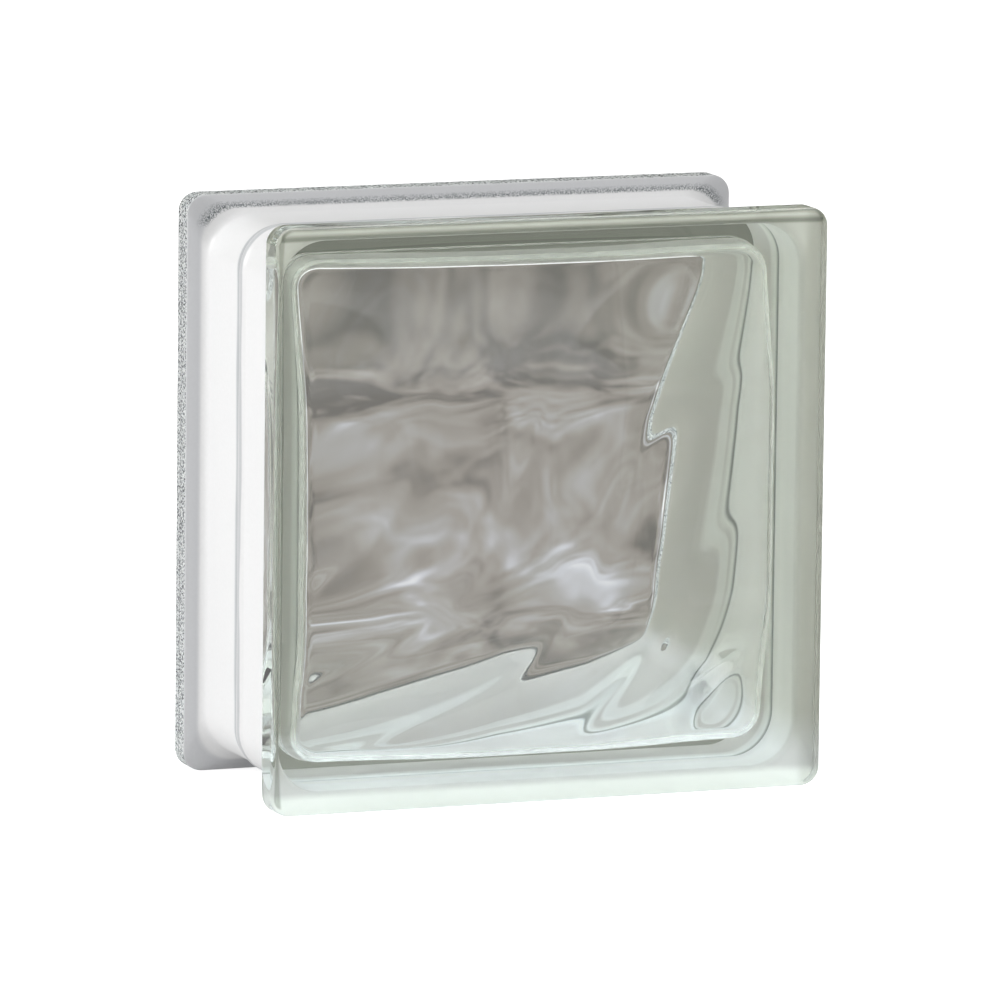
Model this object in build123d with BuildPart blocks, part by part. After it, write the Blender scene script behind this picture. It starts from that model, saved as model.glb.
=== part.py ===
from build123d import *
import math
import os

# Pressed glass block: two equal moulded half shells, fused at the middle of the
# depth into one hollow body. X runs along the face, Y through the depth with the
# front face towards -Y, Z up. The block stands on its lower flanges at Z = 0.

# Driving dimensions in millimetres and degrees
face_side = 197.0            # width and height of each face
block_depth = 98.0           # outer face to outer face
flange_thickness = 10.5      # plate edge, measured along the depth
flange_corner_radius = 8.0   # corners of the faces
arris_radius = 1.6           # rounded outer edges of the faces
channel_depth = 6.0          # mortar channel below the flange edge
step_run = 4.0               # depth taken by the sloping step into the channel
step_root_radius = 5.0       # soft root between the step and the channel floor
channel_corner_radius = 15.0
seam_bead_width = 8.0        # glass squeezed out where the halves were fused
seam_bead_flank = 2.0        # depth taken by each sloping flank of the bead
seam_bead_height = 0.9

side_wall = 7.0              # between the channel floor and the hollow, at the seam
cavity_corner_radius = 10.0
cavity_draft = 1.5           # taper that lets the plunger out, in degrees
inner_bead_width = 6.5
inner_bead_height = 1.0

pane_thickness = 4.3         # glass in the middle of the pane, in a trough
side_rise = 11.5             # how much thicker the dished pane is at its sides
side_start = 15.0            # distance from the middle where that rise begins
end_rise = 14.5              # the same towards the top and the bottom
end_start = 31.0
trough_radius = 160.0        # hollow of the pressed waves, across their run
crest_softness = 0.4         # rounding of the crests between the troughs
wave_angle = -44.0           # direction across the waves, from the X axis
sway_height = 13.0           # sideways wander of the crests
sway_length = 190.0
sway_start = -0.25
wave_fan = -0.25             # spread of the troughs along their run
trough_places = [-76.0, -36.0, 2.0, 43.0, 75.0, 110.0]

surface_step = 8.0           # spacing of the points that carry the waves
surface_fit = 0.4            # how closely the smooth surface follows them

# Places worked out from the sizes
centre_height = face_side / 2
front_y = -block_depth / 2
step_y = front_y + flange_thickness
root_y = step_y + step_run
channel_side = face_side - 2 * channel_depth
cavity_side = channel_side - 2 * side_wall
pane_reach = cavity_side / 2


def section_plane(y):
    """Plane across the block at the given depth, looking from the front."""
    return Plane(origin=(0, y, centre_height), x_dir=(1, 0, 0), z_dir=(0, -1, 0))


def rise(distance, start):
    """Smooth step from 0 at the start to 1 at the walls of the hollow."""
    share = min(max((distance - start) / (pane_reach - start), 0.0), 1.0)
    return share * share * (3 - 2 * share)


def pane_glass(x, z):
    """Thickness of the pane at a place measured from the middle of the face."""
    dish = side_rise * rise(abs(x), side_start) + end_rise * rise(abs(z), end_start)
    turn = math.radians(wave_angle)
    along = x * math.cos(turn) + z * math.sin(turn)
    across = z * math.cos(turn) - x * math.sin(turn)
    along += sway_height * math.sin(2 * math.pi * across / sway_length + sway_start)
    along *= 1 + wave_fan * across / pane_reach
    troughs = [(along - place) ** 2 / (2 * trough_radius) for place in trough_places]
    lowest = min(troughs)
    blend = sum(math.exp((lowest - trough) / crest_softness) for trough in troughs)
    return pane_thickness + dish + lowest - crest_softness * math.log(blend)


def wave_face():
    """Inner face of the front pane, carried a little past the walls of the hollow."""
    reach = (cavity_side + surface_step) / 2
    count = 2 * math.ceil(reach / surface_step)
    pitch = 2 * reach / count
    rows = []
    for row in range(count + 1):
        z = -reach + row * pitch
        line = []
        for column in range(count + 1):
            x = -reach + column * pitch
            line.append((x, front_y + pane_glass(x, z), centre_height + z))
        rows.append(line)
    return Face.make_surface_from_array_of_points(rows, tol=surface_fit)


with BuildPart() as hollow:
    # Tapered plunger shape, cut off by the wavy face of the pane
    with BuildSketch(section_plane(0)):
        RectangleRounded(cavity_side, cavity_side, cavity_corner_radius)
    extrude(amount=block_depth / 2, taper=cavity_draft)
    split(bisect_by=wave_face(), keep=Keep.TOP)
    # Room for the glass that the fusing pressed inwards at the seam
    with BuildSketch(section_plane(0)):
        RectangleRounded(cavity_side + side_wall, cavity_side + side_wall, cavity_corner_radius)
        RectangleRounded(
            cavity_side - 2 * inner_bead_height,
            cavity_side - 2 * inner_bead_height,
            cavity_corner_radius - inner_bead_height,
            mode=Mode.SUBTRACT,
        )
    extrude(amount=inner_bead_width / 2, mode=Mode.SUBTRACT)

with BuildPart() as step:
    # Slope from the flange edge down into the mortar channel
    with BuildSketch(section_plane(root_y)):
        RectangleRounded(face_side, face_side, channel_corner_radius + channel_depth)
    extrude(amount=step_run + arris_radius)
    back = step.faces().sort_by(Axis.Y)[-1]
    chamfer(back.edges(), length=channel_depth, length2=step_run, reference=back)

with BuildPart() as seam_bead:
    # Front half of the bead on the channel floor, with its sloping flank
    with BuildSketch(section_plane(0)):
        RectangleRounded(
            channel_side + 2 * seam_bead_height,
            channel_side + 2 * seam_bead_height,
            channel_corner_radius + seam_bead_height,
        )
    extrude(amount=seam_bead_width / 2)
    crown = seam_bead.faces().sort_by(Axis.Y)[0]
    chamfer(crown.edges(), length=seam_bead_height, length2=seam_bead_flank, reference=crown)

with BuildPart() as half_shell:
    # Face plate, with its outer arris rounded
    with BuildSketch(section_plane(front_y)):
        RectangleRounded(face_side, face_side, flange_corner_radius)
    extrude(amount=-flange_thickness)
    fillet(half_shell.faces().sort_by(Axis.Y)[0].edges(), arris_radius)
    add(step.part)
    # Side wall from the step to the seam, with a soft root
    with BuildSketch(section_plane(root_y)):
        RectangleRounded(channel_side, channel_side, channel_corner_radius)
    extrude(amount=root_y)
    fillet(half_shell.edges().filter_by_position(Axis.Y, root_y, root_y), step_root_radius)
    add(seam_bead.part)
    add(hollow.part, mode=Mode.SUBTRACT)

with BuildPart() as glass_block:
    add(half_shell.part)
    add(half_shell.part.rotate(Axis.Z, 180))
glass_block.part.label = "glass_block"

os.makedirs("parts", exist_ok=True)
export_step(glass_block.part, "parts/glass_block.step")
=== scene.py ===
import logging
import math
from dataclasses import dataclass, field
from enum import Enum
from typing import NamedTuple, Union

import bpy
import numpy as np
from mathutils import Matrix, Vector

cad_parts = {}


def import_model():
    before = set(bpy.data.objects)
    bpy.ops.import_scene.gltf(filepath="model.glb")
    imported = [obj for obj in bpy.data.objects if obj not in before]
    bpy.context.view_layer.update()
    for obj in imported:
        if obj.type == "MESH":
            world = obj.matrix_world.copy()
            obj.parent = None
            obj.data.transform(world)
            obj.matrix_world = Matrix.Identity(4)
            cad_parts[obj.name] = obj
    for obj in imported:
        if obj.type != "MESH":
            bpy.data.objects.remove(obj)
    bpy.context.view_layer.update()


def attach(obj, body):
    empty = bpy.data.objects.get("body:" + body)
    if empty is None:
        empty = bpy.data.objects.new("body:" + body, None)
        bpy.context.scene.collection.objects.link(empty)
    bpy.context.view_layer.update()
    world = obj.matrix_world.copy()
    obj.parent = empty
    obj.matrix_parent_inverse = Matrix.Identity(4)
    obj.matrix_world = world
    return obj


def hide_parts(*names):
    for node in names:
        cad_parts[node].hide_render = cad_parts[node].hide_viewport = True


MM = 0.001
LOG = logging.getLogger("glass_block")

Array = np.ndarray
Color = tuple[float, float, float]
Shades = tuple[tuple[float, float], ...]
Steps = tuple[tuple[float, Color], ...]
Socket = bpy.types.NodeSocket
Value = Union[Socket, float, Color]

WHITE: Color = (1.0, 1.0, 1.0)

# Light Path depths that part the rays: past the first surface, and past the hollow
PAST_FIRST = 0.5
PAST_HOLLOW = 3.5


def rise(share: Array) -> Array:
    """Smooth step from 0 to 1: the share squared times three less twice the share."""
    share = np.clip(share, 0.0, 1.0)
    return share * share * (3.0 - 2.0 * share)


def tones(steps: Shades, cool: tuple[float, float] = (0.0, 0.0)) -> Steps:
    """Turns shades into colours that get cooler as they darken: green and blue gain
    a part of what the shade lacks to white.

    Args:
        steps: pairs of a level and a shade from 0 to 1.
        cool: that part for green and for blue.
    Returns:
        Pairs of a level and a colour.
    """
    green, blue = cool
    return tuple((level, (s, s + green * (1 - s), s + blue * (1 - s))) for level, s in steps)


def volume(points: Array, faces: list[list[int]]) -> float:
    """Volume inside a closed mesh: a sixth of the sum of the triple products of its
    triangles; positive where the faces look outward.

    Args:
        points: vertices.
        faces: triangles and quads as vertex numbers.
    Returns:
        The volume in the cube of the points' unit.
    """
    quads = np.array([f for f in faces if len(f) == 4])
    threes = np.array([f for f in faces if len(f) == 3])
    corners = np.concatenate([quads[:, [0, 1, 2]], quads[:, [0, 2, 3]], threes])
    a, b, c = points[corners[:, 0]], points[corners[:, 1]], points[corners[:, 2]]
    return float(np.einsum("ij,ij->i", a, np.cross(b, c)).sum() / 6)


class Coating(Enum):
    """What covers a band of the outer surface, by its material slot."""

    BARE = 0
    WHITE = 1
    GRAINED = 2


class Join(Enum):
    """What a Mix node does: data type, blend type, both inputs and the output."""

    NUMBER = ("FLOAT", "MIX", 2, 3, 0)
    COLOR = ("RGBA", "MIX", 6, 7, 2)
    PRODUCT = ("RGBA", "MULTIPLY", 6, 7, 2)


class Station(NamedTuple):
    """One ring of the outer skin; the band that leads to it gets the coat."""

    half: float
    radius: float
    depth: float
    coat: Coating


@dataclass(frozen=True)
class RoundedSquare:
    """Ring of points round a square with rounded corners.

    A point is a fixed corner-centre direction times (half side less radius), plus
    a fixed outward direction times the radius.
    """

    per_side: int
    per_corner: int

    @property
    def count(self) -> int:
        """Points in one ring."""
        return 4 * (self.per_side + self.per_corner)

    def pattern(self) -> tuple[Array, Array]:
        """Works out the two direction arrays, shared by all rings.

        Returns:
            The corner-centre directions and the outward directions, each (count, 2).
        """
        turns = np.linspace(0.0, math.pi / 2, self.per_corner + 1)
        share = np.arange(1, self.per_side) / self.per_side
        corners = np.array([(1, 1), (-1, 1), (-1, -1), (1, -1)], float)
        centres, outwards = [], []
        for k in range(4):
            angle = turns + k * math.pi / 2
            centres.append(np.repeat(corners[k][None], len(angle), axis=0))
            outwards.append(np.stack([np.cos(angle), np.sin(angle)], axis=1))
            along = corners[k] + (corners[(k + 1) % 4] - corners[k]) * share[:, None]
            centres.append(along)
            outwards.append(np.repeat(outwards[-1][-1:], len(share), axis=0))
        return np.concatenate(centres), np.concatenate(outwards)

    def rings(self, half: Array, radius: Array) -> Array:
        """Places one ring for each pair of sizes.

        Args:
            half: half sides of the rings.
            radius: corner radii of the rings.
        Returns:
            Points (rings, count, 2) as width and height from the middle.
        """
        centres, outwards = self.pattern()
        half, radius = np.asarray(half, float), np.asarray(radius, float)
        return (half - radius)[:, None, None] * centres + radius[:, None, None] * outwards


@dataclass(frozen=True)
class PaneRelief:
    """Pressed relief on the inner face of a pane: a dish with soft diagonal waves."""

    middle_glass: float = 4.3
    side_rise: float = 11.5
    side_start: float = 15.0
    end_rise: float = 14.5
    end_start: float = 31.0
    reach: float = 85.5
    trough_radius: float = 160.0
    crest_softness: float = 0.3
    wave_angle: float = -44.0
    sway: float = 13.0
    sway_length: float = 190.0
    sway_start: float = -0.25
    fan: float = -0.25
    furrows: tuple[float, ...] = (-76.0, -36.0, 2.0, 43.0, 75.0, 110.0)

    def glass(self, x: Array, z: Array) -> Array:
        """Thickness of the pane: middle glass, plus a smooth rise towards the sides
        and the ends, plus waves that are the lowest of several shallow round troughs.

        Args:
            x: places across the pane from its middle, in millimetres.
            z: places up the pane from its middle, in millimetres.
        Returns:
            The thickness at each place, in millimetres.
        """
        reach = self.reach
        dish = self.side_rise * rise((np.abs(x) - self.side_start) / (reach - self.side_start))
        dish = dish + self.end_rise * rise((np.abs(z) - self.end_start) / (reach - self.end_start))
        turn = math.radians(self.wave_angle)
        along = x * math.cos(turn) + z * math.sin(turn)
        across = z * math.cos(turn) - x * math.sin(turn)
        along = along + self.sway * np.sin(2 * math.pi * across / self.sway_length + self.sway_start)
        along = along * (1.0 + self.fan * across / reach)
        troughs = (along[..., None] - np.array(self.furrows)) ** 2 / (2 * self.trough_radius)
        lowest = troughs.min(axis=-1)
        blend = np.exp(-(troughs - lowest[..., None]) / self.crest_softness).sum(axis=-1)
        return self.middle_glass + dish + lowest - self.crest_softness * np.log(blend)


@dataclass(frozen=True)
class BlockSizes:
    """Sizes of the block in millimetres, with its small roundings."""

    face_side: float = 197.0
    depth: float = 98.0
    flange: float = 10.5
    corner_radius: float = 6.5
    arris: float = 1.6
    back_round: float = 0.9
    channel: float = 6.0
    step_run: float = 4.0
    root_radius: float = 5.0
    channel_radius: float = 15.0
    bead_width: float = 8.0
    bead_height: float = 0.9
    side_wall: float = 7.0
    hollow_radius: float = 10.0
    draft: float = 1.5
    inner_bead_width: float = 6.5
    inner_bead_height: float = 1.0
    pane_root: float = 4.5

    @property
    def half(self) -> float:
        """Half side of a face."""
        return self.face_side / 2

    @property
    def front(self) -> float:
        """Place of the front face along the depth."""
        return -self.depth / 2

    @property
    def channel_half(self) -> float:
        """Half side across the channel floors."""
        return self.half - self.channel

    @property
    def slope(self) -> float:
        """Angle of the step, from the depth towards the channel."""
        return math.atan2(self.channel, self.step_run)

    @property
    def seam_half(self) -> float:
        """Half side of the hollow at the seam."""
        return self.channel_half - self.side_wall


@dataclass
class Surface:
    """Grid of rings that starts and ends in a pole, put together from stations."""

    rings: list[Array] = field(default_factory=list)
    coats: list[Coating] = field(default_factory=list)

    def add(self, points: Array, coat: Coating = Coating.BARE) -> None:
        """Adds stations in order.

        Args:
            points: their points (rings, count, 3).
            coat: what covers the band that leads to each.
        """
        for ring in points:
            self.rings.append(ring)
            self.coats.append(coat)

    def mesh_arrays(self, inward: bool, first: int) -> tuple[Array, list[list[int]], list[int]]:
        """Joins neighbouring rings by quads and closes both ends by a fan to a pole.

        Args:
            inward: turns the faces round, for the wall of a hollow.
            first: number of the first vertex.
        Returns:
            Vertices, faces and the material number of each face.
        """
        grid = np.stack(self.rings)
        stations, count = grid.shape[:2]
        poles = np.stack([grid[0].mean(axis=0), grid[-1].mean(axis=0)])
        vertices = np.concatenate([grid.reshape(-1, 3), poles])
        start = np.arange(count)
        after = (start + 1) % count
        rows = np.arange(stations - 1)[:, None] * count
        quads = np.stack(
            [rows + start, rows + count + start, rows + count + after, rows + after], axis=-1
        ).reshape(-1, 4)
        low, high = stations * count, stations * count + 1
        last = (stations - 1) * count
        front_fan = np.stack([np.full(count, low), start, after], axis=1)
        back_fan = np.stack([np.full(count, high), last + after, last + start], axis=1)
        if inward:
            quads, front_fan, back_fan = quads[:, ::-1], front_fan[:, ::-1], back_fan[:, ::-1]
        faces = (quads + first).tolist() + (front_fan + first).tolist() + (back_fan + first).tolist()
        slots = np.repeat([c.value for c in self.coats[1:]], count).tolist()
        slots += [Coating.BARE.value] * (2 * count)
        return vertices, faces, slots


@dataclass
class OuterSkin:
    """Outside of the block: two faces with flanges, the channel and the seam bead."""

    sizes: BlockSizes
    ring: RoundedSquare = RoundedSquare(per_side=60, per_corner=14)
    face_shares: tuple[float, ...] = (0.12, 0.3, 0.5, 0.7, 0.85, 0.94, 0.985, 0.998)
    edge_shares: tuple[float, ...] = (0.08, 0.5, 0.92)
    slope_shares: tuple[float, ...] = (0.1, 0.35, 0.65, 0.92, 1.0)
    floor_shares: tuple[float, ...] = (0.06, 0.3, 0.55, 0.8, 0.97)
    arris_points: int = 9
    back_points: int = 6
    root_points: int = 8
    bead_points: int = 10
    bare_turn: float = 0.3
    spray_gap: float = 0.1

    def face(self) -> list[Station]:
        """Goes over the front face and round its arris.

        Returns:
            The stations; along the arris the inset follows the sine of the turn and
            the depth follows one less its cosine.
        """
        s = self.sizes
        flat, radius = s.half - s.arris, s.corner_radius - s.arris
        out = [Station(flat * k, radius * k, s.front, Coating.BARE) for k in self.face_shares]
        for turn in np.linspace(0.0, math.pi / 2, self.arris_points):
            grow = s.arris * math.sin(turn)
            depth = s.front + s.arris * (1 - math.cos(turn))
            out.append(Station(flat + grow, radius + grow, depth, Coating.BARE))
        return out

    def edge(self) -> list[Station]:
        """Goes along the flange's edge and round its back, where the coat begins.

        Returns:
            The stations, the last of which lies on the slope.
        """
        s = self.sizes
        start, end = s.front + s.arris, s.front + s.flange
        flat = end - s.back_round - start
        out = [
            Station(s.half, s.corner_radius, start + flat * k, Coating.BARE) for k in self.edge_shares
        ]
        for turn in np.linspace(0.0, s.slope, self.back_points):
            inset = s.back_round * (1 - math.cos(turn))
            depth = end - s.back_round * (1 - math.sin(turn))
            coat = Coating.BARE if turn < self.bare_turn * s.slope else Coating.WHITE
            out.append(Station(s.half - inset, s.corner_radius + 2 * inset, depth, coat))
        return out

    def step(self, start: Station) -> list[Station]:
        """Goes down the slope and round its soft root into the channel.

        Args:
            start: station at the top of the slope.
        Returns:
            The stations; the corner radius grows evenly with the way down.
        """
        s = self.sizes
        root_depth = s.front + s.flange + s.step_run
        tangent = s.root_radius * math.tan(s.slope / 2)
        end_half = s.channel_half + tangent * math.sin(s.slope)
        end_depth = root_depth - tangent * math.cos(s.slope)
        places = [
            (start.half + (end_half - start.half) * k, start.depth + (end_depth - start.depth) * k)
            for k in self.slope_shares
        ]
        for turn in np.linspace(s.slope, 0.0, self.root_points)[1:]:
            half = s.channel_half + s.root_radius * (1 - math.cos(turn))
            places.append((half, root_depth + tangent - s.root_radius * math.sin(turn)))
        gain = (s.channel_radius - s.corner_radius) / s.channel
        return [
            Station(half, s.channel_radius - gain * (half - s.channel_half), depth, Coating.WHITE)
            for half, depth in places
        ]

    def floor(self, start: Station) -> list[Station]:
        """Goes along the channel floor and up the seam bead to its crown.

        Args:
            start: station at the end of the root.
        Returns:
            The stations; the bead's lift is the squared sine of the way to the seam.
        """
        s = self.sizes
        bead = -s.bead_width / 2
        run = bead - start.depth
        out = [
            Station(s.channel_half, s.channel_radius, start.depth + run * k, Coating.WHITE)
            for k in self.floor_shares
        ]
        for k in np.linspace(0.0, 1.0, self.bead_points)[1:]:
            lift = s.bead_height * math.sin(k * math.pi / 2) ** 2
            half, radius = s.channel_half + lift, s.channel_radius + lift
            out.append(Station(half, radius, bead * (1 - k), Coating.WHITE))
        return out

    def surface(self) -> Surface:
        """Carries the profile round the rounded square, then mirrors it for the back.

        Returns:
            The outer skin, whose rings run from the front face to the back face.
        """
        profile = self.face() + self.edge()
        profile += self.step(profile[-1])
        profile += self.floor(profile[-1])
        # the spray reached the edge of the back flange, but not the back face and its arris
        arris_end = self.sizes.front + self.sizes.arris + self.spray_gap
        sprayed = [
            Coating.GRAINED if p.coat is Coating.BARE and p.depth > arris_end else p.coat
            for p in reversed(profile[1:])
        ]
        coats = [p.coat for p in profile] + sprayed
        stations = profile + [p._replace(depth=-p.depth) for p in reversed(profile[:-1])]
        half, radius, depth = (np.array([p[k] for p in stations], float) for k in range(3))
        flat = self.ring.rings(half, radius)
        depths = np.repeat(depth[:, None], self.ring.count, axis=1)
        points = np.stack([flat[..., 0], depths, flat[..., 1]], axis=-1)
        surface = Surface()
        for station, coat in zip(points, coats):
            surface.add(station[None], coat)
        return surface


@dataclass
class Hollow:
    """Sealed hollow: two wavy panes, soft roots, drafted walls and the inner bead."""

    sizes: BlockSizes
    relief: PaneRelief
    ring: RoundedSquare = RoundedSquare(per_side=110, per_corner=10)
    pane_rings: int = 46
    rim_crowding: float = 0.35
    root_rings: int = 8
    wall_rings: int = 8
    bead_shares: tuple[float, ...] = (0.08, 0.17, 0.26, 0.34, 0.45, 0.7, 1.0)
    bead_flank: float = 0.4

    def half(self, turned: bool) -> Array:
        """Stations from the middle of a pane to the seam, for one moulded half.

        Args:
            turned: gives the back half, which is the front half turned about Z.
        Returns:
            Points (stations, count, 3) in millimetres from the block's middle.
        """
        s = self.sizes
        side = -1.0 if turned else 1.0
        run = -s.front - self.relief.middle_glass - self.relief.side_rise - s.pane_root
        end_half = s.seam_half - run * math.tan(math.radians(s.draft))
        window = end_half - s.pane_root
        window_radius = s.hollow_radius - s.pane_root
        share = np.linspace(0.0, 1.0, self.pane_rings + 1)[1:]
        share = share * (1.0 + self.rim_crowding - self.rim_crowding * share)
        flat = self.ring.rings(window * share, window_radius * share)
        depth = s.front + self.relief.glass(side * flat[..., 0], flat[..., 1])
        rim = depth[-1]
        turns = np.linspace(0.0, math.pi / 2, self.root_rings + 1)[1:]
        grow = s.pane_root * np.sin(turns)
        root = self.ring.rings(window + grow, window_radius + grow)
        root_depth = rim[None] + s.pane_root * (1 - np.cos(turns))[:, None]
        fractions = np.linspace(0.0, 1.0, self.wall_rings + 1)[1:]
        bead_start = -s.inner_bead_width / 2
        wall_depth = root_depth[-1][None] * (1 - fractions)[:, None] + bead_start * fractions[:, None]
        wall_half = end_half + (s.seam_half - end_half) * fractions
        wall = self.ring.rings(wall_half, np.full(len(fractions), s.hollow_radius))
        ways = np.array(self.bead_shares)
        lift = s.inner_bead_height * rise(ways / self.bead_flank)
        bead = self.ring.rings(s.seam_half - lift, s.hollow_radius - lift)
        bead_depth = (bead_start * (1 - ways))[:, None] * np.ones(self.ring.count)[None]
        plan = np.concatenate([flat, root, wall, bead])
        depths = np.concatenate([depth, root_depth, wall_depth, bead_depth])
        if turned:
            depths = -depths
        return np.stack([plan[..., 0], depths, plan[..., 1]], axis=-1)

    def surface(self) -> Surface:
        """Joins the front half and the turned back half at the seam.

        Returns:
            The wall of the hollow, whose rings run from front pane to back pane.
        """
        surface = Surface()
        surface.add(self.half(False))
        surface.add(self.half(True)[-2::-1])
        return surface


@dataclass(frozen=True)
class Looks:
    """Sockets that sort the rays: each is 1 for its kind and 0 for all others.

    Kinds: straight from the camera, lighting a painted surface, past glass, and past
    the hollow, which takes more than three surfaces of glass.
    """

    camera: Socket
    lit: Socket
    glass: Socket
    hollow: Socket


@dataclass(frozen=True)
class Tree:
    """Node tree of a material or of the world, with short calls that add nodes."""

    nodes: bpy.types.Nodes
    links: bpy.types.NodeLinks

    @classmethod
    def of(cls, owner: Union[bpy.types.Material, bpy.types.World]) -> "Tree":
        """Turns on the owner's nodes and takes its tree."""
        owner.use_nodes = True
        return cls(owner.node_tree.nodes, owner.node_tree.links)

    def put(self, value: Value, socket: Socket) -> None:
        """Links a value to a socket, or sets it there.

        Args:
            value: a socket, a number or a colour.
            socket: where it goes.
        """
        if isinstance(value, bpy.types.NodeSocket):
            self.links.new(value, socket)
        elif isinstance(value, tuple):
            socket.default_value = (*value, 1.0)
        else:
            socket.default_value = value

    def place(self, kind: str = "Object") -> Socket:
        """Adds the coordinates of a kind."""
        return self.nodes.new("ShaderNodeTexCoord").outputs[kind]

    def split(self, vector: Socket) -> tuple[Socket, ...]:
        """Adds a node that parts a vector.

        Args:
            vector: the vector.
        Returns:
            Its X, Y and Z.
        """
        node = self.nodes.new("ShaderNodeSeparateXYZ")
        self.links.new(vector, node.inputs[0])
        return tuple(node.outputs)

    def distance(self, place: Socket, point: tuple[float, float, float]) -> Socket:
        """Adds a node that measures a distance.

        Args:
            place: the place on the surface.
            point: the fixed point.
        Returns:
            The distance between them.
        """
        node = self.nodes.new("ShaderNodeVectorMath")
        node.operation = "DISTANCE"
        node.inputs[1].default_value = point
        self.links.new(place, node.inputs[0])
        return node.outputs["Value"]

    def math(self, operation: str, *values: Value) -> Socket:
        """Adds a Math node.

        Args:
            operation: name of the operation.
            values: what it works on, in order.
        Returns:
            The result.
        """
        node = self.nodes.new("ShaderNodeMath")
        node.operation = operation
        for value, socket in zip(values, node.inputs):
            self.put(value, socket)
        return node.outputs[0]

    def mix(self, join: Join, share: Value, first: Value, second: Value) -> Socket:
        """Adds a Mix node.

        Args:
            join: what the node does.
            share: 0 for the first and 1 for the second value.
            first: the first value.
            second: the second value.
        Returns:
            The result.
        """
        data_type, blend_type, a, b, result = join.value
        node = self.nodes.new("ShaderNodeMix")
        node.data_type, node.blend_type = data_type, blend_type
        for value, number in ((share, 0), (first, a), (second, b)):
            self.put(value, node.inputs[number])
        return node.outputs[result]

    def product(self, first: Socket, second: Socket) -> Socket:
        """Multiplies two colours."""
        return self.mix(Join.PRODUCT, 1.0, first, second)

    def band(
        self,
        value: Socket,
        low: float,
        high: float,
        ends: tuple[float, float] = (0.0, 1.0),
        kind: str = "LINEAR",
    ) -> Socket:
        """Adds a Map Range node.

        Args:
            value: what it maps.
            low: where the range starts.
            high: where it ends.
            ends: results at both places.
            kind: its interpolation.
        Returns:
            The result, held within the ends.
        """
        node = self.nodes.new("ShaderNodeMapRange")
        node.interpolation_type = kind
        names = ("Value", "From Min", "From Max", "To Min", "To Max")
        for name, part in zip(names, (value, low, high, *ends)):
            self.put(part, node.inputs[name])
        return node.outputs["Result"]

    def noise(
        self,
        place: Socket,
        scale: float,
        detail: float = 2.0,
        roughness: float = 0.5,
        distortion: float = 0.0,
    ) -> Socket:
        """Adds a Noise Texture node.

        Args:
            place: coordinates.
            scale: features to the metre.
            detail: finer layers on top of the first.
            roughness: how strong the finer layers are.
            distortion: how far the pattern is warped.
        Returns:
            The level from 0 to 1.
        """
        node = self.nodes.new("ShaderNodeTexNoise")
        names = ("Vector", "Scale", "Detail", "Roughness", "Distortion")
        for name, part in zip(names, (place, scale, detail, roughness, distortion)):
            self.put(part, node.inputs[name])
        return node.outputs["Fac"]

    def ramp(self, value: Socket, steps: Steps) -> Socket:
        """Adds a Color Ramp node.

        Args:
            value: level from 0 to 1.
            steps: pairs of a level and a colour, two of them first that stay apart.
        Returns:
            The colour.
        """
        node = self.nodes.new("ShaderNodeValToRGB")
        points = node.color_ramp.elements
        for number, (level, color) in enumerate(steps):
            point = points[number] if number < 2 else points.new(level)
            point.position = level
            point.color = (*color, 1.0)
        self.links.new(value, node.inputs["Fac"])
        return node.outputs["Color"]

    def looks(self) -> Looks:
        """Sorts the rays by what they have passed.

        Returns:
            A socket for each kind of ray.
        """
        path = self.nodes.new("ShaderNodeLightPath").outputs
        return Looks(
            camera=path["Is Camera Ray"],
            lit=self.math("GREATER_THAN", path["Diffuse Depth"], PAST_FIRST),
            glass=self.math("GREATER_THAN", path["Transmission Depth"], PAST_FIRST),
            hollow=self.math("GREATER_THAN", path["Transmission Depth"], PAST_HOLLOW),
        )

    def shine(self, color: Value, strength: Value = 1.0) -> Socket:
        """Adds an Emission node.

        Args:
            color: its colour.
            strength: its strength.
        Returns:
            The shader.
        """
        node = self.nodes.new("ShaderNodeEmission")
        self.put(color, node.inputs["Color"])
        self.put(strength, node.inputs["Strength"])
        return node.outputs[0]

    def choose(self, share: Socket, first: Socket, second: Socket) -> None:
        """Ends a material in one of two shaders.

        Args:
            share: 0 for the first and 1 for the second.
            first: the first shader.
            second: the second shader.
        """
        node = self.nodes.new("ShaderNodeMixShader")
        for value, socket in zip((share, first, second), node.inputs):
            self.links.new(value, socket)
        self.links.new(node.outputs[0], self.nodes["Material Output"].inputs["Surface"])


@dataclass(frozen=True)
class ClearGlass:
    """Clear pressed soda lime glass with a slight green tint."""

    name: str = "clear_glass"
    index: float = 1.52
    tint: tuple[float, float, float, float] = (0.76, 0.86, 0.76, 1.0)
    density: float = 4.0
    cast: Color = (0.975, 0.985, 0.975)
    patches: float = 55.0
    roughest: float = 0.03

    def absorb(self, tree: Tree) -> None:
        """Tints the light by the length of its way through the glass.

        Args:
            tree: the material's tree.
        """
        node = tree.nodes.new("ShaderNodeVolumeAbsorption")
        node.inputs["Color"].default_value = self.tint
        node.inputs["Density"].default_value = self.density
        tree.links.new(node.outputs["Volume"], tree.nodes["Material Output"].inputs["Volume"])

    def material(self) -> bpy.types.Material:
        """Builds the glass, with a slight unevenness of fire polish and tint.

        Returns:
            The material.
        """
        mat = bpy.data.materials.new(self.name)
        tree = Tree.of(mat)
        shader = tree.nodes["Principled BSDF"].inputs
        shader["Transmission Weight"].default_value = 1.0
        shader["IOR"].default_value = self.index
        soft = tree.noise(tree.place(), self.patches, detail=0.0)
        tree.put(tree.mix(Join.COLOR, soft, WHITE, self.cast), shader["Base Color"])
        tree.put(tree.band(soft, 0.0, 1.0, (0.0, self.roughest)), shader["Roughness"])
        self.absorb(tree)
        return mat


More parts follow.
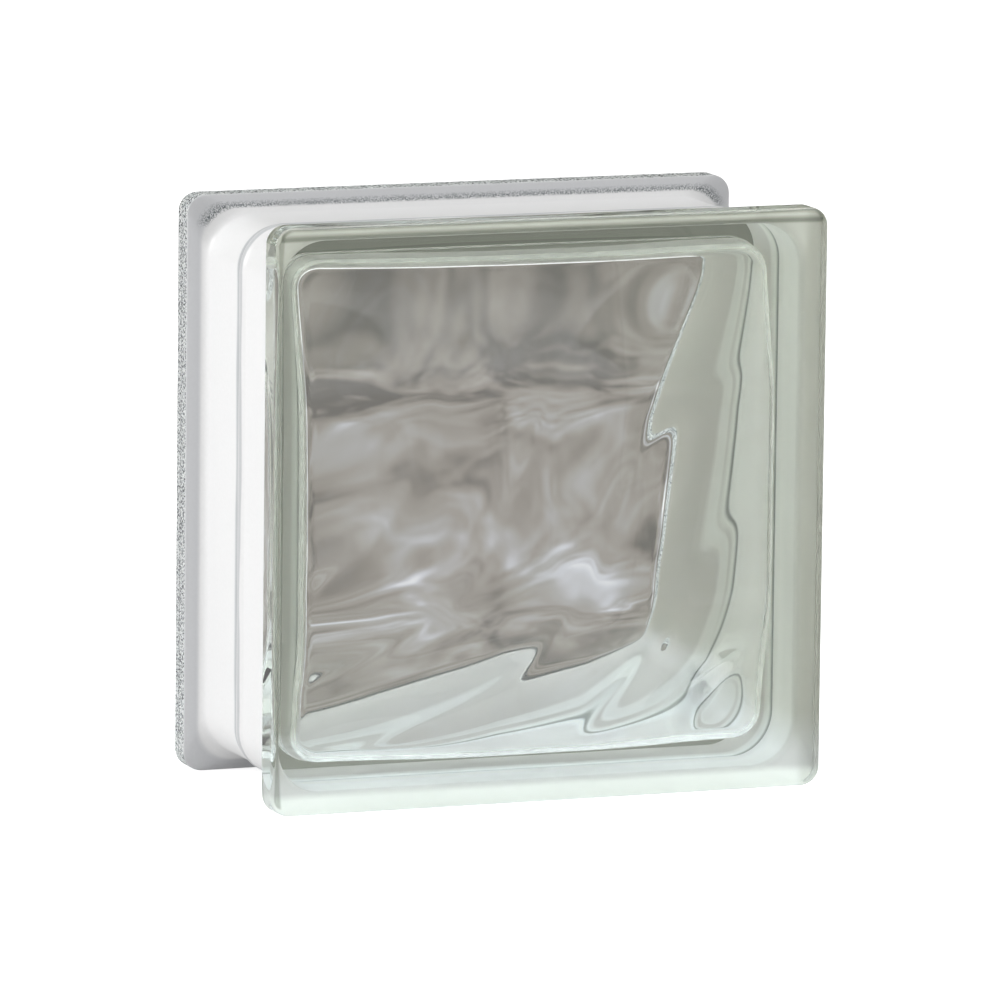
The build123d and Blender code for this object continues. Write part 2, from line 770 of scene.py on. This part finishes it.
@dataclass(frozen=True)
class GrainedGlass:
    """The same glass under thin grainy overspray, on the edge of the back flange."""

    glass: ClearGlass = ClearGlass()
    name: str = "grained_glass"
    clear_share: float = 0.3
    fineness: float = 1500.0
    roughness: tuple[float, float] = (0.12, 0.5)
    bump: float = 0.4
    edge_span: tuple[float, float] = (0.037, 0.049)
    # painted shade: a thin dark line and a dark band towards the back arris, in place of its
    # refraction
    edge_painted_shades: Shades = (
        (0.0, 1.0), (1.0, 0.45), (0.54, 1.0), (0.58, 0.45), (0.62, 1.0), (0.84, 1.0), (0.88, 0.35),
    )
    speck_colors: Steps = (
        (0.42, (0.03, 0.035, 0.04)),
        (0.57, (1.0, 1.0, 1.0)),
        (0.46, (0.5, 0.53, 0.57)),
        (0.51, (0.82, 0.84, 0.88)),
    )

    def material(self) -> bpy.types.Material:
        """Builds the finish, with specks in its colour, roughness and bump, and painted shade lines
        towards the back arris.

        Returns:
            The material.
        """
        mat = bpy.data.materials.new(self.name)
        tree = Tree.of(mat)
        shader = tree.nodes["Principled BSDF"].inputs
        shader["Transmission Weight"].default_value = self.clear_share
        shader["IOR"].default_value = self.glass.index
        place = tree.place()
        specks = tree.noise(place, self.fineness)
        tree.put(tree.band(specks, 0.0, 1.0, self.roughness), shader["Roughness"])
        depth = tree.band(tree.split(place)[1], *self.edge_span)
        colors = tree.ramp(specks, self.speck_colors)
        tree.put(tree.product(colors, tree.ramp(depth, tones(self.edge_painted_shades))), shader["Base Color"])
        bump = tree.nodes.new("ShaderNodeBump")
        bump.inputs["Strength"].default_value = self.bump
        bump.inputs["Distance"].default_value = MM
        tree.put(specks, bump.inputs["Height"])
        tree.put(bump.outputs["Normal"], shader["Normal"])
        self.glass.absorb(tree)
        return mat


@dataclass(frozen=True)
class WhiteCoat:
    """White sprayed coat on the channel and its slopes.

    The air side is white, with painted shade along the flanks of the seam bead,
    painted shade on the slopes that is darkest at their roots, and a gritty strip
    on the top back slope. The side bonded to the glass, which shows through the
    glass, carries painted light and shade by the depth, the height and the width.
    """

    sizes: BlockSizes = BlockSizes()
    name: str = "white_coat"
    color: Color = (0.925, 0.925, 0.925)
    roughness: float = 0.35
    grain: float = 900.0
    grain_shade: float = 0.96
    seam_span: tuple[float, float] = (-0.0045, 0.0115)
    seam_drift: float = 0.004
    drift_patches: float = 22.0
    # painted shade: grey bands and a dark line along the flanks of the seam bead
    seam_painted_shades: Shades = (
        (0.0, 1.0), (1.0, 1.0), (0.3, 1.0), (0.34, 0.66), (0.44, 0.72), (0.48, 0.95),
        (0.51, 0.95), (0.54, 0.2), (0.58, 0.3), (0.61, 0.56), (0.7, 0.62), (0.76, 1.0),
    )
    # painted shade on the slopes, darkening from the flange to their roots beside the channel
    slope_painted_shades: Shades = (
        (0.0, 0.95), (1.0, 0.95), (0.131, 0.72), (0.138, 1.0), (0.862, 1.0), (0.869, 0.72),
    )
    grit: float = 2200.0
    grit_color: Color = (0.16, 0.18, 0.19)
    grit_levels: tuple[float, float] = (0.44, 0.56)
    grit_depths: tuple[tuple[float, float], ...] = ((0.861, 0.866), (0.881, 0.869))
    grit_heights: tuple[float, float] = (0.186, 0.189)
    # painted light and shade by depth: dark at the front root, lighter in the front half, a painted
    # bright line then a dark line at the seam, darker in the back half
    bonded_depth_light: Steps = (
        (0.0, (0.3, 0.29, 0.25)),
        (1.0, (0.3, 0.29, 0.25)),
        (0.15, (0.33, 0.315, 0.275)),
        (0.2, (0.6, 0.585, 0.53)),
        (0.3, (0.66, 0.645, 0.585)),
        (0.38, (0.76, 0.74, 0.68)),
        (0.465, (0.78, 0.76, 0.7)),
        (0.485, (0.84, 0.83, 0.78)),
        (0.497, (0.8, 0.79, 0.74)),
        (0.503, (0.25, 0.25, 0.23)),
        (0.512, (0.3, 0.3, 0.27)),
        (0.522, (0.7, 0.69, 0.63)),
        (0.57, (0.66, 0.64, 0.58)),
        (0.6, (0.5, 0.47, 0.42)),
        (0.82, (0.45, 0.42, 0.37)),
    )
    # painted light by height: much lighter and cooler at the bottom, fading upward, then a dark line
    # and a lighter strip at the top
    bonded_height_light: Steps = (
        (0.0, (2.0, 2.1, 2.3)),
        (1.0, (1.25, 1.25, 1.25)),
        (0.019, (1.9, 2.0, 2.2)),
        (0.031, (1.28, 1.3, 1.46)),
        (0.05, (1.28, 1.3, 1.46)),
        (0.12, (1.0, 1.0, 1.0)),
        (0.9, (1.0, 1.0, 1.0)),
        (0.9705, (1.0, 1.0, 1.0)),
        (0.9715, (0.45, 0.46, 0.42)),
        (0.978, (0.5, 0.51, 0.47)),
        (0.983, (1.2, 1.2, 1.2)),
    )
    # painted light and shade by width: a lighter thin strip at the -X side then a darker one, and
    # darker at the +X side
    bonded_width_light: Steps = (
        (0.0, (1.2, 1.22, 1.22)),
        (1.0, (0.84, 0.84, 0.82)),
        (0.018, (1.2, 1.22, 1.22)),
        (0.022, (0.6, 0.61, 0.58)),
        (0.0285, (0.6, 0.61, 0.58)),
        (0.0295, (1.0, 1.0, 1.0)),
        (0.97, (1.0, 1.0, 1.0)),
        (0.982, (0.84, 0.84, 0.82)),
    )

    def material(self) -> bpy.types.Material:
        """Builds the coat: one colour for its air side, one for its bonded side.

        Returns:
            The material.
        """
        mat = bpy.data.materials.new(self.name)
        tree = Tree.of(mat)
        place = tree.place()
        x, y, z = tree.split(place)
        s = self.sizes
        half, depth, height = s.half * MM, s.depth / 2 * MM, s.face_side * MM
        run = tree.band(y, -depth, depth)
        # air side: grain, painted shade along the seam bead, painted shade on the slopes, grit
        dimmed = tuple(self.grain_shade * c for c in self.color)
        air = tree.mix(Join.COLOR, tree.noise(place, self.grain, detail=0.0), self.color, dimmed)
        # painted shade along the seam bead, wandering a little along its length
        wander = tree.noise(place, self.drift_patches, detail=1.0)
        seam = tree.band(tree.math("MULTIPLY_ADD", wander, self.seam_drift, y), *self.seam_span)
        air = tree.product(air, tree.ramp(seam, tones(self.seam_painted_shades, (0.04, 0.08))))
        air = tree.product(air, tree.ramp(run, tones(self.slope_painted_shades, (0.03, 0.1))))
        share = tree.band(tree.noise(place, self.grit), *self.grit_levels)
        for span in self.grit_depths:
            share = tree.math("MULTIPLY", share, tree.band(run, *span))
        share = tree.math("MULTIPLY", share, tree.band(z, *self.grit_heights))
        air = tree.mix(Join.COLOR, share, air, self.grit_color)
        # bonded side: painted light and shade, lighter low down and in the front half, with painted
        # bright and dark lines
        height_light = tree.ramp(tree.band(z, 0.0, height), self.bonded_height_light)
        width_light = tree.ramp(tree.band(x, -half, half), self.bonded_width_light)
        bonded = tree.product(tree.product(tree.ramp(run, self.bonded_depth_light), height_light), width_light)
        back = tree.nodes.new("ShaderNodeNewGeometry").outputs["Backfacing"]
        shader = tree.nodes["Principled BSDF"].inputs
        shader["Roughness"].default_value = self.roughness
        tree.put(tree.mix(Join.COLOR, back, air, bonded), shader["Base Color"])
        return mat


@dataclass
class GlassBlock:
    """The fused hollow block."""

    sizes: BlockSizes = BlockSizes()
    relief: PaneRelief = PaneRelief()
    glass: ClearGlass = ClearGlass()
    coat: WhiteCoat = WhiteCoat()
    grain: GrainedGlass = GrainedGlass()

    def build(self) -> bpy.types.Object:
        """Makes one closed mesh of the outer skin and the hollow, and dresses it.

        Returns:
            The block.
        """
        outer = OuterSkin(self.sizes).surface()
        hollow = Hollow(self.sizes, self.relief).surface()
        points, faces, slots = outer.mesh_arrays(inward=False, first=0)
        inner_points, inner_faces, inner_slots = hollow.mesh_arrays(inward=True, first=len(points))
        points = np.concatenate([points, inner_points])
        points[:, 2] += self.sizes.half
        mesh = bpy.data.meshes.new("moulded_block")
        mesh.from_pydata((points * MM).tolist(), [], faces + inner_faces)
        mesh.polygons.foreach_set("material_index", np.array(slots + inner_slots, np.int32))
        mesh.polygons.foreach_set("use_smooth", np.ones(len(mesh.polygons), bool))
        mesh.materials.append(self.glass.material())
        mesh.materials.append(self.coat.material())
        mesh.materials.append(self.grain.material())
        mesh.update()
        whole, air = volume(points, faces), volume(points, inner_faces)
        LOG.info("outer skin %.0f mm3, hollow %.0f mm3", whole, air)
        body = bpy.data.objects.new("moulded_block", mesh)
        bpy.context.scene.collection.objects.link(body)
        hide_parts("glass_block")
        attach(body, "root")
        LOG.info("moulded_block: %d faces", len(mesh.polygons))
        return body


@dataclass(frozen=True)
class View:
    """Camera of the photograph, worked out from the block's outline.

    Angles are in degrees, the distance and the target in millimetres, and the clip
    distances in metres.
    """

    yaw: float = 21.19
    pitch: float = 9.19
    roll: float = 0.67
    distance: float = 3569.27
    lens: float = 380.63
    sensor: float = 36.0
    target: tuple[float, float, float] = (0.38, 0.0, 94.63)
    clip: tuple[float, float] = (0.1, 60.0)

    def build(self) -> None:
        """Makes the camera and points it at the block."""
        a, e, r = math.radians(self.yaw), math.radians(self.pitch), math.radians(self.roll)
        back = Vector((-math.sin(a) * math.cos(e), -math.cos(a) * math.cos(e), math.sin(e)))
        right = (-back).cross(Vector((0, 0, 1))).normalized()
        up = right.cross(-back)
        right, up = (
            math.cos(r) * right + math.sin(r) * up,
            -math.sin(r) * right + math.cos(r) * up,
        )
        data = bpy.data.cameras.new("view")
        data.sensor_width = self.sensor
        data.lens = self.lens
        data.clip_start, data.clip_end = self.clip
        camera = bpy.data.objects.new("view", data)
        place = (Vector(self.target) + back * self.distance) * MM
        turn = Matrix((right, up, back)).transposed().to_4x4()
        camera.matrix_world = Matrix.Translation(place) @ turn
        bpy.context.scene.collection.objects.link(camera)
        bpy.context.scene.camera = camera


@dataclass(frozen=True)
class Lamp:
    """Square soft lamp that faces the middle of the block; metres and watts."""

    name: str
    place: tuple[float, float, float]
    size: float
    power: float
    aim: tuple[float, float, float] = (0.0, 0.0, 0.1)

    def build(self) -> None:
        """Hangs the lamp."""
        data = bpy.data.lights.new(self.name, "AREA")
        data.size = self.size
        data.energy = self.power
        lamp = bpy.data.objects.new(self.name, data)
        way = Vector(self.aim) - Vector(self.place)
        lamp.rotation_mode = "QUATERNION"
        lamp.rotation_quaternion = way.to_track_quat("-Z", "Y")
        lamp.location = self.place
        bpy.context.scene.collection.objects.link(lamp)


class Spot(NamedTuple):
    """Lighter or darker spot of the room: its place, its reach and what it adds."""

    x: float
    z: float
    reach: float
    gain: float


@dataclass
class Studio:
    """Plain pale floor, soft light and white surround, with a dim room behind the hollow.

    Places are in metres. The colours of `sky` go by the ray's height, from straight
    down to straight up; those of `room` go by the level of its clouds.
    """

    floor_side: float = 6.0
    floor_color: Color = (0.8, 0.8, 0.8)
    floor_glow: tuple[float, float] = (0.12, 0.75)
    lamps: tuple[Lamp, ...] = (
        Lamp("key_lamp", (-1.9, 0.9, 0.75), 1.0, 21.0),
        Lamp("top_lamp", (0.2, 0.3, 2.0), 1.2, 6.0),
    )
    paint_light: float = 0.5
    wall_light: float = 1.8
    wall_rise: float = 4.4
    wall_fall: float = 0.6
    wall_least: float = 0.3
    low_tone: Color = (1.08, 1.03, 0.9)
    high_tone: Color = (0.9, 1.0, 1.05)
    sky_light: float = 2.0
    sky: Steps = (
        (0.0, (0.4, 0.41, 0.41)),
        (1.0, (1.0, 1.0, 1.0)),
        (0.35, (0.32, 0.33, 0.335)),
        (0.395, (0.17, 0.175, 0.16)),
        (0.42, (0.095, 0.098, 0.083)),
        (0.48, (0.075, 0.078, 0.064)),
        (0.66, (0.11, 0.114, 0.098)),
        (0.8, (0.3, 0.3, 0.29)),
        (0.92, (1.0, 1.0, 1.0)),
    )
    room: Steps = (
        (0.25, (0.15, 0.14, 0.13)),
        (0.9, (1.3, 1.3, 1.3)),
        (0.4, (0.3, 0.275, 0.25)),
        (0.5, (0.37, 0.345, 0.32)),
        (0.6, (0.44, 0.43, 0.43)),
        (0.7, (0.64, 0.65, 0.7)),
    )
    room_spots: tuple[Spot, ...] = (
        Spot(0.055, 0.175, 0.05, -0.2),
        Spot(-0.04, 0.17, 0.05, -0.1),
        Spot(-0.008, 0.181, 0.016, 0.14),
        Spot(0.03, 0.115, 0.03, -0.1),
        Spot(-0.02, 0.165, 0.09, -0.04),
        Spot(0.012, 0.158, 0.05, -0.22),
        Spot(0.058, 0.115, 0.026, 0.13),
        Spot(0.064, 0.05, 0.045, 0.2),
        Spot(0.088, 0.028, 0.035, 0.14),
        Spot(-0.042, 0.1, 0.024, 0.14),
        Spot(-0.02, 0.07, 0.045, 0.14),
        Spot(0.03, 0.074, 0.045, 0.15),
        Spot(0.05, 0.08, 0.03, 0.08),
        Spot(-0.055, 0.06, 0.022, -0.05),
        Spot(0.09, 0.09, 0.03, -0.1),
    )
    cloud_lean: float = 38.0
    cloud_stretch: float = 2.2
    cloud_level: float = -0.05
    cloud_roughness: float = 0.6
    cloud_warp: float = 1.2
    sheet_clouds: float = 16.0
    world_clouds: float = 5.0
    world_level: float = -0.078
    world_right: float = 0.12
    world_rise: float = -0.22
    sheet_y: float = 0.085
    sheet_x: tuple[float, float] = (-0.2, 0.26)
    sheet_z: tuple[float, float] = (-0.12, 0.26)
    room_middle: tuple[float, float] = (0.028, 0.067)
    room_half: tuple[float, float] = (0.118, 0.126)
    edge_gain: tuple[float, float] = (0.3, 1.0)
    edge_sharpness: float = 80.0

    def plane(self, name: str, corners: list[tuple[float, float, float]]) -> Tree:
        """Makes a four-cornered sheet for the stage, with a material of its own.

        Args:
            name: name of the sheet and its material.
            corners: the corners, in order.
        Returns:
            The material's tree, emptied but for its output.
        """
        mesh = bpy.data.meshes.new(name)
        mesh.from_pydata(corners, [], [(0, 1, 2, 3)])
        mesh.update()
        sheet = bpy.data.objects.new(name, mesh)
        bpy.context.scene.collection.objects.link(sheet)
        mat = bpy.data.materials.new(name)
        tree = Tree.of(mat)
        tree.nodes.remove(tree.nodes["Principled BSDF"])
        mesh.materials.append(mat)
        return tree

    def clouds(self, tree: Tree, place: Socket, scale: float, lift: Socket) -> Socket:
        """Adds the room's soft clouds.

        Args:
            tree: the tree.
            place: place or direction.
            scale: how fine the clouds are.
            lift: what is added to their level.
        Returns:
            The colour.
        """
        rough, warp = self.cloud_roughness, self.cloud_warp
        cloud = tree.noise(place, scale, roughness=rough, distortion=warp)
        return tree.ramp(tree.math("ADD", cloud, lift), self.room)

    def floor(self) -> None:
        """Lays the floor: pale paint that glows white to the camera and lets through
        the rays that come out of glass, which see the surround in its place."""
        h = self.floor_side / 2
        tree = self.plane("floor", [(-h, -h, 0), (h, -h, 0), (h, h, 0), (-h, h, 0)])
        looks = tree.looks()
        paint = tree.nodes.new("ShaderNodeBsdfDiffuse")
        tree.put(self.floor_color, paint.inputs["Color"])
        glow = tree.shine(WHITE, tree.mix(Join.NUMBER, looks.camera, *self.floor_glow))
        total = tree.nodes.new("ShaderNodeAddShader")
        tree.put(paint.outputs[0], total.inputs[0])
        tree.put(glow, total.inputs[1])
        through = tree.math("MAXIMUM", tree.math("SUBTRACT", looks.glass, looks.lit), 0.0)
        gap = tree.nodes.new("ShaderNodeBsdfTransparent").outputs[0]
        tree.choose(through, total.outputs[0], gap)

    def room_sheet(self) -> None:
        """Hangs a clouded sheet close behind the block that only shows through the hollow."""
        y, (left, right), (low, high) = self.sheet_y, self.sheet_x, self.sheet_z
        corners = [(left, y, low), (right, y, low), (right, y, high), (left, y, high)]
        tree = self.plane("room_sheet", corners)
        looks = tree.looks()
        place = tree.place()
        lean = tree.nodes.new("ShaderNodeMapping")
        lean.inputs["Rotation"].default_value = (0.0, math.radians(self.cloud_lean), 0.0)
        lean.inputs["Scale"].default_value = (1.0, 1.0, self.cloud_stretch)
        tree.put(place, lean.inputs["Vector"])
        lift: Value = self.cloud_level
        for spot in self.room_spots:
            away = tree.distance(place, (spot.x, y, spot.z))
            level = tree.band(away, 0.0, spot.reach, (spot.gain, 0.0), "SMOOTHSTEP")
            lift = tree.math("ADD", lift, level)
        # past the room's edge the white surround shows
        x, _, z = tree.split(place)
        edges = zip((x, z), self.room_middle, self.room_half, self.edge_gain)
        for along, middle, half, gain in edges:
            off = tree.math("ABSOLUTE", tree.math("SUBTRACT", along, middle))
            off = tree.math("MULTIPLY", tree.math("SUBTRACT", off, half), self.edge_sharpness)
            off = tree.math("MINIMUM", tree.math("MAXIMUM", off, 0.0), 1.0)
            lift = tree.math("ADD", lift, tree.math("MULTIPLY", off, gain))
        shown = tree.shine(self.clouds(tree, lean.outputs["Vector"], self.sheet_clouds, lift))
        seen = tree.math("MAXIMUM", tree.math("SUBTRACT", looks.hollow, looks.lit), 0.0)
        gap = tree.nodes.new("ShaderNodeBsdfTransparent").outputs[0]
        tree.choose(seen, gap, shown)

    def world(self) -> None:
        """Sets the surround: white to the camera, bands of sky to the glass, even light
        to the paint, and a clouded room to rays that have passed the hollow."""
        world = bpy.data.worlds.new("surround")
        tree = Tree.of(world)
        looks = tree.looks()
        way = tree.place("Generated")
        x, y, z = tree.split(way)
        height = tree.math("MULTIPLY_ADD", z, 0.5, 0.5)
        sky = tree.ramp(height, self.sky)
        # paint: even light outside, and more from above on what the glass covers
        warm = tree.mix(Join.COLOR, height, self.low_tone, self.high_tone)
        tone = tree.mix(Join.COLOR, looks.glass, WHITE, warm)
        walls = tree.math("MULTIPLY_ADD", z, self.wall_rise, self.wall_light)
        walls = tree.math("SUBTRACT", walls, tree.math("MULTIPLY", y, self.wall_fall))
        walls = tree.math("MAXIMUM", walls, self.wall_least)
        paint = tree.mix(Join.NUMBER, looks.glass, self.paint_light, walls)
        # the room, a little brighter to the right and below
        right = tree.math("MULTIPLY_ADD", x, self.world_right, self.world_level)
        lift = tree.math("ADD", tree.math("MULTIPLY", z, self.world_rise), right)
        clouds = self.clouds(tree, way, self.world_clouds, lift)
        color = tree.mix(Join.COLOR, looks.hollow, sky, clouds)
        color = tree.mix(Join.COLOR, looks.lit, color, tone)
        color = tree.mix(Join.COLOR, looks.camera, color, WHITE)
        level = tree.mix(Join.NUMBER, looks.hollow, self.sky_light, 1.0)
        level = tree.mix(Join.NUMBER, looks.lit, level, paint)
        level = tree.mix(Join.NUMBER, looks.camera, level, 1.0)
        base = tree.nodes["Background"].inputs
        tree.put(color, base["Color"])
        tree.put(level, base["Strength"])
        bpy.context.scene.world = world

    def build(self) -> None:
        """Sets the whole stage."""
        self.world()
        self.floor()
        self.room_sheet()
        for lamp in self.lamps:
            lamp.build()
            LOG.info("lamp %s", lamp.name)


def main() -> None:
    """Builds the block and its stage."""
    logging.basicConfig(level=logging.INFO)
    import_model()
    View().build()
    GlassBlock().build()
    Studio().build()
    bpy.context.scene.view_settings.view_transform = "Standard"


if __name__ == "__main__":
    main()
